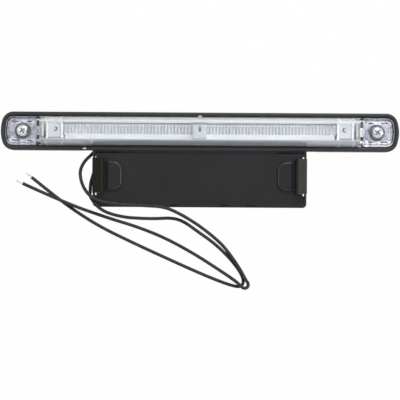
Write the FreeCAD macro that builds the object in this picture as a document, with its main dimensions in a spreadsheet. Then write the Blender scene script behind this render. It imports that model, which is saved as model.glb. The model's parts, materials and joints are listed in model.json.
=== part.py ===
import FreeCAD, Part
import math
import os
import re
import Sketcher

# LED marker lamp in its snap-in bracket, lying on its back with the light facing +Z.
# X runs along the lamp, Y across it towards the lamp's side, and Z = 0 is the bracket's back.

vector = FreeCAD.Vector
doc = FreeCAD.newDocument("MarkerLamp")
sheet = doc.addObject("Spreadsheet::Sheet", "Sizes")

# Driving sizes in millimetres, one cell each
sizes = (
    # long oval tray of the bracket
    ("rim_length", 238),
    ("rim_width", 23),
    ("rim_height", 8),
    ("rim_wall", 2.4),
    ("rim_edge", 0.9),
    ("end_radius", 22),
    ("corner_radius", 7),
    ("web_level", 3.2),
    ("web_thickness", 2),
    # plate below the tray
    ("plate_width", 128),
    ("plate_drop", 33.7),
    ("plate_height", 6.2),
    ("plate_corner", 2.4),
    ("plate_edge", 0.6),
    ("plate_cove", 1.4),
    ("side_wall", 1.4),
    ("foot_wall", 3.2),
    ("cable_notch", 6),
    ("back_rib", 1.4),
    ("back_rib_pitch", 13),
    ("back_rib_gap", 17.6),
    # recesses along the foot
    ("recess_width", 5),
    ("recess_depth", 1.8),
    ("recess_reach", 1.1),
    ("recess_margin", 0.7),
    ("recess_inner", 14.9),
    ("recess_pitch", 15.8),
    # snap hooks
    ("hook_inset", 6.8),
    ("hook_stem", 2),
    ("hook_reach", 6.7),
    ("hook_width", 20.8),
    ("hook_drop", 14.9),
    ("panel_room", 2.8),
    ("hook_lip", 0.9),
    ("hook_rise", 4.2),
    ("hook_nose", 1.2),
    ("slit_width", 0.8),
    ("slit_reach", 1.3),
    # raised stops beside the hooks
    ("stop_slot", 1.6),
    ("stop_width", 9.2),
    ("stop_length", 17.7),
    ("stop_height", 3),
    ("stop_corner", 5.5),
    ("stop_edge", 1.3),
    # screws
    ("screw_inset", 13.4),
    ("screw_head", 7),
    ("screw_head_height", 2.6),
    ("screw_length", 8),
    ("screw_thread", 3.4),
    ("screw_clearance", 0.1),
    ("screw_tip", 0.8),
    ("screw_head_side", 1.2),
    ("screw_shoulder", 5.8),
    ("screw_shoulder_drop", 0.5),
    ("screw_crown", 3.8),
    ("screw_recess", 3.6),
    ("screw_recess_width", 1),
    ("screw_recess_depth", 1.2),
    ("lens_boss", 9.6),
    ("boss_diameter", 8),
    ("boss_level", 0.6),
    # clear lens
    ("lens_gap", 0.4),
    ("lens_shoulder", 0.6),
    ("lens_top", 18),
    ("lens_bevel", 3.1),
    ("lens_wall", 1.2),
    ("lens_roof", 1.6),
    ("lens_edge", 0.7),
    ("lens_end_wall", 3),
    ("ear_length", 21.6),
    ("ear_slope", 1.7),
    ("ear_rise", 3.4),
    ("ear_depth", 2.5),
    ("ear_side", 2.4),
    ("ear_end", 2.7),
    ("ear_pocket_corner", 4),
    ("seat_diameter", 9.4),
    ("seat_depth", 1),
    ("collar_wall", 1),
    ("collar_height", 1.2),
    ("relief_radius", 3.2),
    ("relief_shift", 1.6),
    # white base and optics
    ("fit", 0.15),
    ("base_thickness", 1.8),
    ("base_gap", 0.05),
    ("base_slot_width", 2.4),
    ("base_slot_inner", 2.6),
    ("base_slot_side", 0.9),
    ("base_slot_back", 1.4),
    ("ear_slot_width", 0.7),
    ("ear_slot_gap", 0.3),
    ("ear_slot_start", 2.2),
    ("ear_slot_inner", 5.2),
    ("ear_slot_outer", 6.4),
    ("optic_shift", 0.9),
    ("guide_side_gap", 0.9),
    ("guide_drop", 5.2),
    ("guide_seat_gap", 0.05),
    ("guide_height", 3.6),
    ("guide_inner", 1),
    ("guide_led_gap", 0.85),
    ("guide_pitch", 1.96),
    ("guide_rib_start", 5.5),
    ("guide_rib_margin", 1.7),
    ("guide_rib_depth", 0.6),
    ("reflector_end_gap", 0.7),
    ("reflector_floor", 0.8),
    ("reflector_wall", 0.7),
    ("reflector_rise", 0.9),
    ("reflector_drop", 1.8),
    ("holder_cover", 10.5),
    ("holder_length", 9.7),
    ("holder_bar", 1),
    ("holder_step", 0.8),
    ("holder_hole", 2.2),
    ("holder_hole_inset", 4.6),
    ("holder_hole_depth", 0.4),
    ("clip_length", 7.8),
    ("clip_roof", 0.6),
    ("clip_hole", 1.8),
    # circuit
    ("board_end_gap", 2.2),
    ("board_side_gap", 1.15),
    ("board_thickness", 1),
    ("led_board_thickness", 0.8),
    ("led_board_drop", 0.8),
    ("led_size", 8),
    ("led_width", 2.8),
    ("led_thickness", 1.2),
    ("led_window", 2.2),
    ("led_dome", 0.3),
    ("chip_length", 4.9),
    ("chip_width", 3.9),
    ("chip_height", 1.5),
    ("chip_at", 16),
    ("resistor_length", 3.2),
    ("resistor_width", 1.6),
    ("resistor_height", 0.6),
    ("resistor_pitch", 7),
    ("resistor_start", 28),
    ("diode_length", 4.3),
    ("diode_width", 2.6),
    ("diode_height", 2),
    ("diode_at", -26),
    # wires
    ("gland_length", 9),
    ("gland_width", 9),
    ("gland_edge", 1),
    ("gland_at", -45.5),
    ("gland_shift", -3.4),
    ("wire_diameter", 2),
    ("wire_level", 1.7),
    ("wire_lead", 4.5),
    ("wire_pitch", 4.1),
    ("strand_diameter", 1.2),
    ("strand_length", 4.4),
)

# Levels and widths that follow from the driving sizes
derived = {
    "lamp_y": "(plate_drop / 2)",
    "web_top": "(web_level + web_thickness)",
    "plate_bottom": "(rim_width / 2 + plate_drop)",
    "hook_centre": "(rim_width / 2 + hook_drop)",
    "hook_inner": "(plate_width / 2 - hook_inset)",
    "hook_catch": "(plate_height + panel_room)",
    "hook_tip": "(hook_catch + hook_rise)",
    "screw_at": "(rim_length / 2 - screw_inset)",
    "screw_hole": "(screw_thread + 2 * screw_clearance)",
    "back_rib_outer": "(screw_at - back_rib_gap)",
    "lens_inset": "(rim_wall + lens_gap)",
    "lens_waist": "(rim_height + lens_shoulder)",
    "lens_lean": "(lens_bevel / (lens_top - lens_waist))",
    "ear_start": "(rim_length / 2 - ear_length)",
    "ear_height": "(lens_waist + ear_rise)",
    "ear_floor": "(ear_height - ear_depth)",
    "ear_pocket_end": "(rim_length / 2 - lens_inset - ear_end)",
    "ear_pocket_half": "(rim_width / 2 - lens_inset - ear_side)",
    "seat_level": "(ear_floor - seat_depth)",
    "chamber_half": "(ear_start - lens_end_wall)",
    "chamber_top": "(lens_top - lens_roof)",
    "chamber_wide": "(rim_width / 2 - lens_inset - lens_wall)",
    "chamber_narrow": "(chamber_wide - lens_lean * (chamber_top - lens_waist))",
    "base_top": "(web_top + base_thickness)",
    "ear_slot_level": "(lens_boss / 2 + fit + ear_slot_gap)",
    "base_slot_outer": "(chamber_wide - fit - base_slot_side)",
    "board_top": "(base_top + board_thickness)",
    "led_board_top": "(chamber_top - led_board_drop)",
    "led_board_wide": "(chamber_wide - fit)",
    "led_board_narrow": "(led_board_wide - lens_lean * (led_board_top - lens_waist))",
    "led_face": "(chamber_half - fit - led_board_thickness - led_thickness)",
    "guide_level": "(chamber_top - guide_drop)",
    "guide_top": "(guide_level + guide_height)",
    "guide_outer": "(led_face - guide_led_gap)",
    "led_level": "(guide_level + guide_height / 2)",
    "holder_inner": "(guide_outer - holder_cover)",
    "reflector_half": "(holder_inner - reflector_end_gap)",
    "reflector_top": "(chamber_top - reflector_drop)",
    "reflector_bed": "(guide_level - guide_seat_gap)",
    "reflector_outer": "(chamber_wide - fit)",
    "reflector_inner": "(reflector_outer - reflector_wall)",
    "reflector_slope": "(lens_lean * (reflector_top - lens_waist))",
    "guide_half": "(reflector_inner - reflector_slope - optic_shift - guide_side_gap)",
    "guide_rib_end": "(reflector_half - guide_rib_margin)",
    "board_half": "(reflector_half - board_end_gap)",
    "board_side": "(reflector_inner - board_side_gap)",
}

for line, (alias, value) in enumerate(sizes, start=1):
    sheet.set("A%d" % line, alias.replace("_", " "))
    sheet.set("B%d" % line, str(value))
    sheet.setAlias("B%d" % line, alias)
doc.recompute()

cells = {alias for alias, value in sizes}
parts = []


def formula(text):
    # an expression in words becomes one that reads the sheet
    def word(match):
        name = match.group(0)
        if name in derived:
            return formula(derived[name])
        return "Sizes." + name if name in cells else name

    return re.sub(r"[a-z][a-z_]*", word, str(text))


def number(text):
    return float(sheet.evalExpression(formula(text)))


def bind(item, name, text):
    item.setExpression(name, formula(text))


def newBody(label):
    body = doc.addObject("PartDesign::Body", label)
    body.Label = label
    bind(body, "Placement.Base.y", "lamp_y")
    parts.append(body)
    return body


def originFeature(body, role):
    return next(item for item in body.Origin.OriginFeatures if item.Role == role)


def newSketch(body, name, role, x="0", y="0", z="0"):
    item = body.newObject("Sketcher::SketchObject", name)
    item.AttachmentSupport = [(originFeature(body, role), "")]
    item.MapMode = "FlatFace"
    bind(item, "AttachmentOffset.Base.x", x)
    bind(item, "AttachmentOffset.Base.y", y)
    bind(item, "AttachmentOffset.Base.z", z)
    return item


def measure(item, kind, elements, text):
    index = item.addConstraint(Sketcher.Constraint(kind, *elements, number(text)))
    bind(item, "Constraints[%d]" % index, text)


def polygon(item, points):
    # a closed line through points given as pairs of expressions
    first = item.GeometryCount
    count = len(points)
    corners = [vector(number(x), number(y), 0) for x, y in points]
    for index in range(count):
        item.addGeometry(Part.LineSegment(corners[index], corners[(index + 1) % count]), False)
    for index in range(count):
        follower = first + (index + 1) % count
        item.addConstraint(Sketcher.Constraint("Coincident", first + index, 2, follower, 1))
    for index, (x, y) in enumerate(points):
        measure(item, "DistanceX", (-1, 1, first + index, 1), x)
        measure(item, "DistanceY", (-1, 1, first + index, 1), y)


def rectangle(item, low, high):
    polygon(item, ((low[0], low[1]), (high[0], low[1]), (high[0], high[1]), (low[0], high[1])))


def circle(item, diameter):
    radius = number(diameter) / 2
    index = item.addGeometry(Part.Circle(vector(0, 0, 0), vector(0, 0, 1), radius), False)
    item.addConstraint(Sketcher.Constraint("Coincident", index, 3, -1, 1))
    measure(item, "Diameter", (index,), diameter)


def oval(item, inset):
    # the tray's outline moved inwards: two long sides, bowed ends and round corners
    half = number("rim_width / 2 - (%s)" % inset)
    bow = number("end_radius - (%s)" % inset)
    corner = number("corner_radius - (%s)" % inset)
    centre = number("rim_length / 2 - end_radius")
    reach = math.sqrt((bow - corner) ** 2 - (half - corner) ** 2)
    tilt = math.atan2(half - corner, reach)
    turns = ((1, -1), (1, 1), (-1, 1), (-1, -1))
    axis = vector(0, 0, 1)

    def arc(x, y, radius, start, end):
        full = Part.Circle(vector(x, y, 0), axis, radius)
        return item.addGeometry(Part.ArcOfCircle(full, start, end), False)

    ends = {}
    for side, turn in ((1, 0), (-1, math.pi)):
        ends[side] = arc(side * centre, 0, bow, turn - tilt, turn + tilt)
    corners = {}
    for side, top in turns:
        x = side * (centre + reach)
        y = top * (half - corner)
        aim = math.atan2(top * math.sin(tilt), side * math.cos(tilt))
        up = top * math.pi / 2
        low, high = (up, aim) if side * top < 0 else (aim, up)
        if high < low:
            high += 2 * math.pi
        corners[(side, top)] = arc(x, y, corner, low, high)
    lines = {}
    for top in (1, -1):
        left = vector(-centre - reach, top * half, 0)
        right = vector(centre + reach, top * half, 0)
        lines[top] = item.addGeometry(Part.LineSegment(left, right), False)

    for side, top in turns:
        roundEnd = 2 if side * top > 0 else 1
        lineEnd = 2 if side > 0 else 1
        bowEnd = 2 if side * top > 0 else 1
        turn = corners[(side, top)]
        item.addConstraint(Sketcher.Constraint("Tangent", turn, roundEnd, lines[top], lineEnd))
        item.addConstraint(Sketcher.Constraint("Tangent", ends[side], bowEnd, turn, 3 - roundEnd))
        if (side, top) != turns[0]:
            item.addConstraint(Sketcher.Constraint("Equal", corners[turns[0]], turn))
    item.addConstraint(Sketcher.Constraint("Equal", ends[1], ends[-1]))
    item.addConstraint(Sketcher.Constraint("Symmetric", ends[-1], 3, ends[1], 3, -1, 1))
    item.addConstraint(Sketcher.Constraint("PointOnObject", ends[1], 3, -1))
    item.addConstraint(Sketcher.Constraint("Horizontal", lines[1]))
    measure(item, "Radius", (corners[turns[0]],), "corner_radius - (%s)" % inset)
    measure(item, "Radius", (ends[1],), "end_radius - (%s)" % inset)
    measure(item, "DistanceX", (ends[-1], 3, ends[1], 3), "rim_length - 2 * end_radius")
    measure(item, "DistanceY", (lines[-1], 1, lines[1], 1), "rim_width - 2 * (%s)" % inset)


def sides(feature, symmetric, length):
    if length is None:
        feature.Type = "ThroughAll"
    else:
        bind(feature, "Length", length)
    if symmetric:
        feature.SideType = "Symmetric"


def pad(body, item, length, symmetric=False, backward=False):
    feature = body.newObject("PartDesign::Pad", "Pad")
    feature.Profile = item
    feature.Reversed = backward
    sides(feature, symmetric, length)
    doc.recompute()
    return feature


def pocket(body, item, length=None, symmetric=False, backward=False):
    before = body.Shape.Volume
    feature = body.newObject("PartDesign::Pocket", "Pocket")
    feature.Profile = item
    feature.Reversed = backward
    sides(feature, symmetric, length)
    doc.recompute()
    if body.Shape.Volume >= before:
        raise RuntimeError("%s: %s cuts nothing" % (body.Label, item.Label))
    return feature


def mirror(body, features):
    feature = body.newObject("PartDesign::Mirrored", "Mirrored")
    feature.Originals = features
    feature.MirrorPlane = (originFeature(body, "YZ_Plane"), [""])
    body.Tip = feature
    doc.recompute()
    return feature


def row(body, features, role, length, count, backward=False):
    feature = body.newObject("PartDesign::LinearPattern", "Row")
    feature.Originals = features
    feature.Direction = (originFeature(body, role), [""])
    feature.Reversed = backward
    bind(feature, "Length", length)
    feature.Occurrences = count
    body.Tip = feature
    doc.recompute()
    return feature


def dress(body, kind, size, chosen):
    # rounds or bevels the edges of the last feature that a test picks by their middle point and direction
    base = body.Tip
    names = []
    for index, edge in enumerate(base.Shape.Edges, start=1):
        middle = edge.valueAt((edge.FirstParameter + edge.LastParameter) / 2)
        if chosen(edge, middle):
            names.append("Edge%d" % index)
    if not names:
        raise RuntimeError("%s: no edge to dress" % body.Label)
    feature = body.newObject("PartDesign::" + kind, kind)
    feature.Base = (base, names)
    bind(feature, "Radius" if kind == "Fillet" else "Size", size)
    doc.recompute()
    return feature


def near(value, text):
    return abs(value - number(text)) < 0.001


def upright(edge):
    direction = edge.Vertexes[-1].Point - edge.Vertexes[0].Point
    return abs(direction.x) + abs(direction.y) < 0.001


def flat(edge):
    return abs(edge.Vertexes[-1].Z - edge.Vertexes[0].Z) < 0.001


def makeBracket():
    body = newBody("bracket")

    tray = newSketch(body, "TrayOutline", "XY_Plane")
    oval(tray, "0")
    pad(body, tray, "rim_height")
    plate = newSketch(body, "PlateOutline", "XY_Plane")
    rectangle(plate, ("-plate_width / 2", "-plate_bottom"), ("plate_width / 2", "0"))
    pad(body, plate, "plate_height")

    def plateCorner(edge, middle):
        return upright(edge) and near(middle.y, "-plate_bottom")

    dress(body, "Fillet", "plate_corner", plateCorner)

    def plateTop(edge, middle):
        return flat(edge) and near(middle.z, "plate_height") and middle.y < -number("rim_width / 2")

    dress(body, "Fillet", "plate_edge", plateTop)

    # lens seat, and the plate's shallow tray in front
    seat = newSketch(body, "LensSeat", "XY_Plane", z="rim_height")
    oval(seat, "rim_wall")
    pocket(body, seat, "rim_height - web_top")
    front = newSketch(body, "PlateFront", "YZ_Plane")
    polygon(
        front,
        (
            ("-plate_bottom + foot_wall", "web_top"),
            ("-rim_width / 2 - plate_cove", "web_top"),
            ("-rim_width / 2", "web_top + plate_cove"),
            ("-rim_width / 2", "rim_height"),
            ("-plate_bottom + foot_wall", "rim_height"),
        ),
    )
    pocket(body, front, "plate_width - 2 * side_wall", symmetric=True)

    # hollow back: the tray's underside, and the plate's, open at both sides for the wires
    under = newSketch(body, "TrayUnderside", "XY_Plane")
    oval(under, "rim_wall")
    pocket(body, under, "web_level", backward=True)
    back = newSketch(body, "PlateUnderside", "XY_Plane")
    rectangle(
        back,
        ("-plate_width / 2 - cable_notch", "-plate_bottom + foot_wall"),
        ("plate_width / 2 + cable_notch", "-rim_width / 2 + rim_wall + fit"),
    )
    pocket(body, back, "web_level", backward=True)

    # outer edge of the tray's rim
    def rimTop(edge, middle):
        if not (flat(edge) and near(middle.z, "rim_height")):
            return False
        inside = number("rim_wall") / 2
        return max(
            abs(middle.x) - number("rim_length / 2 - corner_radius") + inside,
            abs(middle.y) - number("rim_width / 2") + inside,
        ) > 0

    dress(body, "Fillet", "rim_edge", rimTop)

    # core openings under the hooks with slits at their ends, then the hooks themselves
    opening = newSketch(body, "HookOpening", "XY_Plane", z="rim_height")
    rectangle(
        opening,
        ("hook_inner + hook_stem", "-hook_centre - hook_width / 2"),
        ("plate_width / 2 - side_wall", "-hook_centre + hook_width / 2"),
    )
    openings = pocket(body, opening)
    slit = newSketch(body, "HookSlit", "XY_Plane", z="rim_height")
    rectangle(
        slit,
        ("plate_width / 2 - side_wall - slit_width", "-hook_centre - hook_width / 2 - slit_reach"),
        ("plate_width / 2 - side_wall", "-hook_centre + hook_width / 2 + slit_reach"),
    )
    slits = pocket(body, slit)
    mirror(body, [openings, slits])
    hook = newSketch(body, "HookProfile", "XZ_Plane", z="hook_centre")
    polygon(
        hook,
        (
            ("hook_inner", "web_level"),
            ("hook_inner + hook_stem", "web_level"),
            ("hook_inner + hook_stem", "hook_catch"),
            ("hook_inner + hook_reach", "hook_catch"),
            ("hook_inner + hook_reach", "hook_catch + hook_lip"),
            ("hook_inner + hook_nose", "hook_tip"),
            ("hook_inner", "hook_tip - hook_nose / 2"),
        ),
    )
    hooks = pad(body, hook, "hook_width", symmetric=True)
    mirror(body, [hooks])

    # stops with round inner corners and soft top edges
    stopEdge = "hook_inner - stop_slot"
    for side in (1, -1):
        stop = newSketch(body, "Stop", "XY_Plane", z="web_top")
        nearSide = "%d * (%s)" % (side, stopEdge)
        farSide = "%d * (%s - stop_width)" % (side, stopEdge)
        rectangle(
            stop,
            (farSide, "-hook_centre - stop_length / 2"),
            (nearSide, "-hook_centre + stop_length / 2"),
        )
        pad(body, stop, "stop_height")
        dress(body, "Fillet", "stop_corner", lambda edge, middle: upright(edge) and near(middle.x, farSide))

        def stopTop(edge, middle):
            return flat(edge) and near(middle.z, "web_top + stop_height") and middle.x * side > 0

        dress(body, "Fillet", "stop_edge", stopTop)

    # four recesses along the foot
    recesses = []
    for at in ("recess_inner", "recess_inner + recess_pitch"):
        recess = newSketch(body, "FootRecess", "XY_Plane", x=at, z="plate_height")
        rectangle(
            recess,
            ("-recess_width / 2", "-plate_bottom + recess_margin"),
            ("recess_width / 2", "-plate_bottom + recess_margin + recess_reach"),
        )
        recesses.append(pocket(body, recess, "recess_depth"))
    mirror(body, recesses)

    # screw bosses, which also carry the ends of the lens, and cross ribs behind the lamp
    boss = newSketch(body, "Boss", "XY_Plane", x="screw_at", z="boss_level")
    circle(boss, "boss_diameter")
    bosses = pad(body, boss, "web_level - boss_level")
    support = newSketch(body, "LensBoss", "XY_Plane", x="screw_at", z="web_top")
    circle(support, "lens_boss")
    supports = pad(body, support, "base_thickness")
    mirror(body, [bosses, supports])
    pilot = newSketch(body, "Pilot", "XY_Plane", x="screw_at", z="base_top")
    circle(pilot, "screw_hole")
    pilots = pocket(body, pilot, "base_top")
    mirror(body, [pilots])
    ribs = []
    for at in ("back_rib_outer", "back_rib_outer - back_rib_pitch"):
        rib = newSketch(body, "BackRib", "XY_Plane", x=at)
        rectangle(
            rib,
            ("-back_rib / 2", "-rim_width / 2 + rim_wall / 2"),
            ("back_rib / 2", "rim_width / 2 - rim_wall / 2"),
        )
        ribs.append(pad(body, rib, "web_level"))
    mirror(body, ribs)


def makeLens():
    body = newBody("lens")
    wide = "2 * rim_width"

    skirt = newSketch(body, "Skirt", "XY_Plane", z="web_top")
    oval(skirt, "lens_inset")
    pad(body, skirt, "lens_waist - web_top")
    low = newSketch(body, "BevelFoot", "XY_Plane", z="lens_waist")
    oval(low, "lens_inset")
    high = newSketch(body, "BevelTop", "XY_Plane", z="lens_top")
    oval(high, "lens_inset + lens_bevel")
    bevel = body.newObject("PartDesign::AdditiveLoft", "Bevel")
    bevel.Profile = low
    bevel.Sections = [high]
    bevel.Ruled = True
    doc.recompute()

    # the ends step down to the screw ears
    step = newSketch(body, "EarStep", "XZ_Plane")
    polygon(
        step,
        (
            ("ear_start", "ear_height"),
            ("rim_length / 2", "ear_height"),
            ("rim_length / 2", "lens_top + ear_slope"),
            ("ear_start - ear_slope", "lens_top"),
        ),
    )
    steps = pocket(body, step, wide, symmetric=True)
    mirror(body, [steps])

    def ridge(edge, middle):
        return flat(edge) and near(middle.z, "lens_top") and abs(middle.x) < 1

    dress(body, "Fillet", "lens_edge", ridge)

    # pocket, screw seat and hole in each ear
    for side in (1, -1):
        at = "%d * screw_at" % side
        start = "%d * ear_start" % side
        end = "%d * ear_pocket_end" % side
        well = newSketch(body, "EarPocket", "XY_Plane", z="ear_height")
        rectangle(well, (start, "-ear_pocket_half"), (end, "ear_pocket_half"))
        pocket(body, well, "ear_height - ear_floor")
        dress(body, "Fillet", "ear_pocket_corner", lambda edge, middle: upright(edge) and near(middle.x, end))
        collar = newSketch(body, "SeatCollar", "XY_Plane", x=at, z="ear_floor")
        circle(collar, "seat_diameter + 2 * collar_wall")
        pad(body, collar, "collar_height")
        seat = newSketch(body, "ScrewSeat", "XY_Plane", x=at, z="ear_floor + collar_height")
        circle(seat, "seat_diameter")
        pocket(body, seat, "seat_depth + collar_height")
        hole = newSketch(body, "ScrewHole", "XY_Plane", x=at, z="seat_level")
        circle(hole, "screw_hole")
        pocket(body, hole)
        reliefAt = "%d * (ear_start + relief_shift)" % side
        relief = newSketch(body, "Relief", "XY_Plane", x=reliefAt, z="lens_top")
        circle(relief, "2 * relief_radius")
        pocket(body, relief, "lens_top - ear_floor")

    # hollow for the base plate, and the long chamber for the optics
    floor = newSketch(body, "BaseSeat", "XY_Plane", z="web_top")
    oval(floor, "lens_inset + lens_wall")
    pocket(body, floor, "base_thickness + base_gap", backward=True)
    chamber = newSketch(body, "Chamber", "YZ_Plane")
    polygon(
        chamber,
        (
            ("-chamber_wide", "base_top"),
            ("chamber_wide", "base_top"),
            ("chamber_wide", "lens_waist"),
            ("chamber_narrow", "chamber_top"),
            ("-chamber_narrow", "chamber_top"),
            ("-chamber_wide", "lens_waist"),
        ),
    )
    pocket(body, chamber, "2 * chamber_half", symmetric=True)


def makeBase():
    body = newBody("lamp_base")
    plate = newSketch(body, "Plate", "XY_Plane", z="web_top")
    oval(plate, "lens_inset + lens_wall + fit")
    pad(body, plate, "base_thickness")
    window = newSketch(body, "BossWindow", "XY_Plane", x="screw_at", z="base_top")
    circle(window, "lens_boss + 2 * fit")
    windows = [pocket(body, window)]
    for side in (1, -1):
        slot = newSketch(body, "StepSlot", "XY_Plane", x="ear_start - base_slot_back", z="base_top")
        rectangle(
            slot,
            ("-base_slot_width / 2", "%d * base_slot_inner" % side),
            ("base_slot_width / 2", "%d * base_slot_outer" % side),
        )
        windows.append(pocket(body, slot))
        for start, end in (("ear_slot_start", "ear_slot_outer"), ("-ear_slot_start", "-ear_slot_inner")):
            slot = newSketch(body, "EarSlot", "XY_Plane", x="screw_at", z="base_top")
            rectangle(
                slot,
                (start, "%d * ear_slot_level" % side),
                (end, "%d * (ear_slot_level + ear_slot_width)" % side),
            )
            windows.append(pocket(body, slot))
    mirror(body, windows)


def makeScrews():
    # two pan head screws, made as one revolved profile with a cross recess in each head
    body = newBody("fixing_screws")
    profile = newSketch(body, "Profile", "XZ_Plane", x="screw_at")
    polygon(
        profile,
        (
            ("0", "seat_level - screw_length"),
            ("screw_thread / 2 - screw_tip", "seat_level - screw_length"),
            ("screw_thread / 2", "seat_level - screw_length + screw_tip"),
            ("screw_thread / 2", "seat_level"),
            ("screw_head / 2", "seat_level"),
            ("screw_head / 2", "seat_level + screw_head_side"),
            ("screw_shoulder / 2", "seat_level + screw_head_height - screw_shoulder_drop"),
            ("screw_crown / 2", "seat_level + screw_head_height"),
            ("0", "seat_level + screw_head_height"),
        ),
    )
    turned = body.newObject("PartDesign::Revolution", "Turned")
    body.AllowCompound = True
    turned.Profile = profile
    turned.ReferenceAxis = (profile, ["V_Axis"])
    doc.recompute()
    cross = newSketch(body, "Cross", "XY_Plane", x="screw_at", z="seat_level + screw_head_height")
    arm = "screw_recess / 2"
    slim = "screw_recess_width / 2"
    polygon(
        cross,
        (
            ("-" + arm, "-" + slim),
            ("-" + slim, "-" + slim),
            ("-" + slim, "-" + arm),
            (slim, "-" + arm),
            (slim, "-" + slim),
            (arm, "-" + slim),
            (arm, slim),
            (slim, slim),
            (slim, arm),
            ("-" + slim, arm),
            ("-" + slim, slim),
            ("-" + arm, slim),
        ),
    )
    recess = pocket(body, cross, "screw_recess_depth")
    mirror(body, [turned, recess])


def makeReflector():
    # channel that hugs the lens wall, with a floor under the rods
    body = newBody("reflector")
    lean = "reflector_slope"
    outer = "reflector_outer"
    inner = "reflector_inner"
    section = newSketch(body, "Section", "YZ_Plane")
    polygon(
        section,
        (
            ("-" + outer, "base_top"),
            ("-" + inner, "base_top"),
            ("-" + inner, "reflector_bed - reflector_floor - reflector_rise"),
            ("-%s + reflector_wall" % inner, "reflector_bed - reflector_floor"),
            ("%s - reflector_wall" % inner, "reflector_bed - reflector_floor"),
            (inner, "reflector_bed - reflector_floor - reflector_rise"),
            (inner, "base_top"),
            (outer, "base_top"),
            (outer, "lens_waist"),
            ("%s - %s" % (outer, lean), "reflector_top"),
            ("%s - %s" % (inner, lean), "reflector_top"),
            ("%s - lens_lean * (reflector_bed - lens_waist)" % inner, "reflector_bed"),
            ("-%s + lens_lean * (reflector_bed - lens_waist)" % inner, "reflector_bed"),
            ("-%s + %s" % (inner, lean), "reflector_top"),
            ("-%s + %s" % (outer, lean), "reflector_top"),
            ("-" + outer, "lens_waist"),
        ),
    )
    pad(body, section, "2 * reflector_half", symmetric=True)


def makeGuide(label, side):
    # clear rod with a row of cross flutes on its front
    body = newBody(label)
    rod = newSketch(body, "Rod", "YZ_Plane", x="optic_shift", z="%d * guide_inner" % side)
    rectangle(rod, ("-guide_half", "guide_level"), ("guide_half", "guide_top"))
    pad(body, rod, "guide_outer - guide_inner", backward=side < 0)
    flute = newSketch(body, "Flute", "XZ_Plane", x="%d * guide_rib_start" % side, z="-optic_shift")
    polygon(
        flute,
        (
            ("-guide_rib_depth", "guide_top"),
            ("0", "guide_top - guide_rib_depth"),
            ("guide_rib_depth", "guide_top"),
        ),
    )
    first = pocket(body, flute, "4 * guide_half", symmetric=True)
    span = "guide_rib_end - guide_rib_start"
    count = int(number("(%s) / guide_pitch" % span)) + 1
    row(body, [first], "X_Axis", "guide_pitch * %d" % (count - 1), count, backward=side < 0)


def makeHolder(label, side):
    # white cap over a rod's outer end, with a raised cross bar at each end
    body = newBody(label)
    start = "%d * holder_inner" % side
    wide = "(chamber_wide - fit)"
    top = "(chamber_top - fit)"
    narrow = "(%s - lens_lean * (%s - lens_waist))" % (wide, top)

    def section(drop):
        return (
            ("-%s + %s" % (wide, drop), "base_top"),
            ("%s - %s" % (wide, drop), "base_top"),
            ("%s - %s" % (wide, drop), "lens_waist"),
            ("%s - %s" % (narrow, drop), "%s - %s" % (top, drop)),
            ("-%s + %s" % (narrow, drop), "%s - %s" % (top, drop)),
            ("-%s + %s" % (wide, drop), "lens_waist"),
        )

    cap = newSketch(body, "Cap", "YZ_Plane", z=start)
    polygon(cap, section("holder_step"))
    pad(body, cap, "holder_length", backward=side < 0)
    for at in ("holder_inner", "holder_inner + holder_length - holder_bar"):
        bar = newSketch(body, "Bar", "YZ_Plane", z="%d * (%s)" % (side, at))
        polygon(bar, section("0"))
        pad(body, bar, "holder_bar", backward=side < 0)
    tunnel = newSketch(body, "Tunnel", "YZ_Plane", x="optic_shift", z=start)
    rectangle(
        tunnel,
        ("-guide_half - fit", "base_top"),
        ("guide_half + fit", "guide_top + fit"),
    )
    pocket(body, tunnel, "holder_length", backward=side > 0)
    holeAt = "%d * (holder_inner + holder_hole_inset)" % side
    face = "%s - holder_step" % top
    hole = newSketch(body, "Hole", "XY_Plane", x=holeAt, y="optic_shift", z=face)
    circle(hole, "holder_hole")
    pocket(body, hole, "holder_hole_depth")


def makeClip():
    # square cap over the meeting ends of both rods, standing on the reflector's floor
    body = newBody("light_guide_clip")
    wall = "(guide_half + fit)"
    roof = "(guide_top + fit + clip_roof)"
    inset = "(reflector_wall + 2 * fit + lens_lean * (guide_top - lens_waist) - optic_shift)"
    section = newSketch(body, "Section", "YZ_Plane", x="optic_shift")
    polygon(
        section,
        (
            ("%s - chamber_wide" % inset, "reflector_bed"),
            ("-" + wall, "reflector_bed"),
            ("-" + wall, "guide_top + fit"),
            (wall, "guide_top + fit"),
            (wall, roof),
            ("%s - chamber_wide" % inset, roof),
        ),
    )
    pad(body, section, "clip_length", symmetric=True)
    hole = newSketch(body, "Hole", "XY_Plane", y="optic_shift", z=roof)
    circle(hole, "clip_hole")
    pocket(body, hole, "clip_roof")


def makeBoards():
    body = newBody("circuit_board")
    board = newSketch(body, "Board", "XY_Plane", z="base_top")
    rectangle(board, ("-board_half", "-board_side"), ("board_half", "board_side"))
    pad(body, board, "board_thickness")
    for label, side in (("led_board_left", -1), ("led_board_right", 1)):
        ledBoard = newBody(label)
        face = newSketch(ledBoard, "Face", "YZ_Plane", z="%d * (led_face + led_thickness)" % side)
        polygon(
            face,
            (
                ("-led_board_wide", "base_top"),
                ("led_board_wide", "base_top"),
                ("led_board_wide", "lens_waist"),
                ("led_board_narrow", "led_board_top"),
                ("-led_board_narrow", "led_board_top"),
                ("-led_board_wide", "lens_waist"),
            ),
        )
        pad(ledBoard, face, "led_board_thickness", backward=side < 0)


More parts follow.
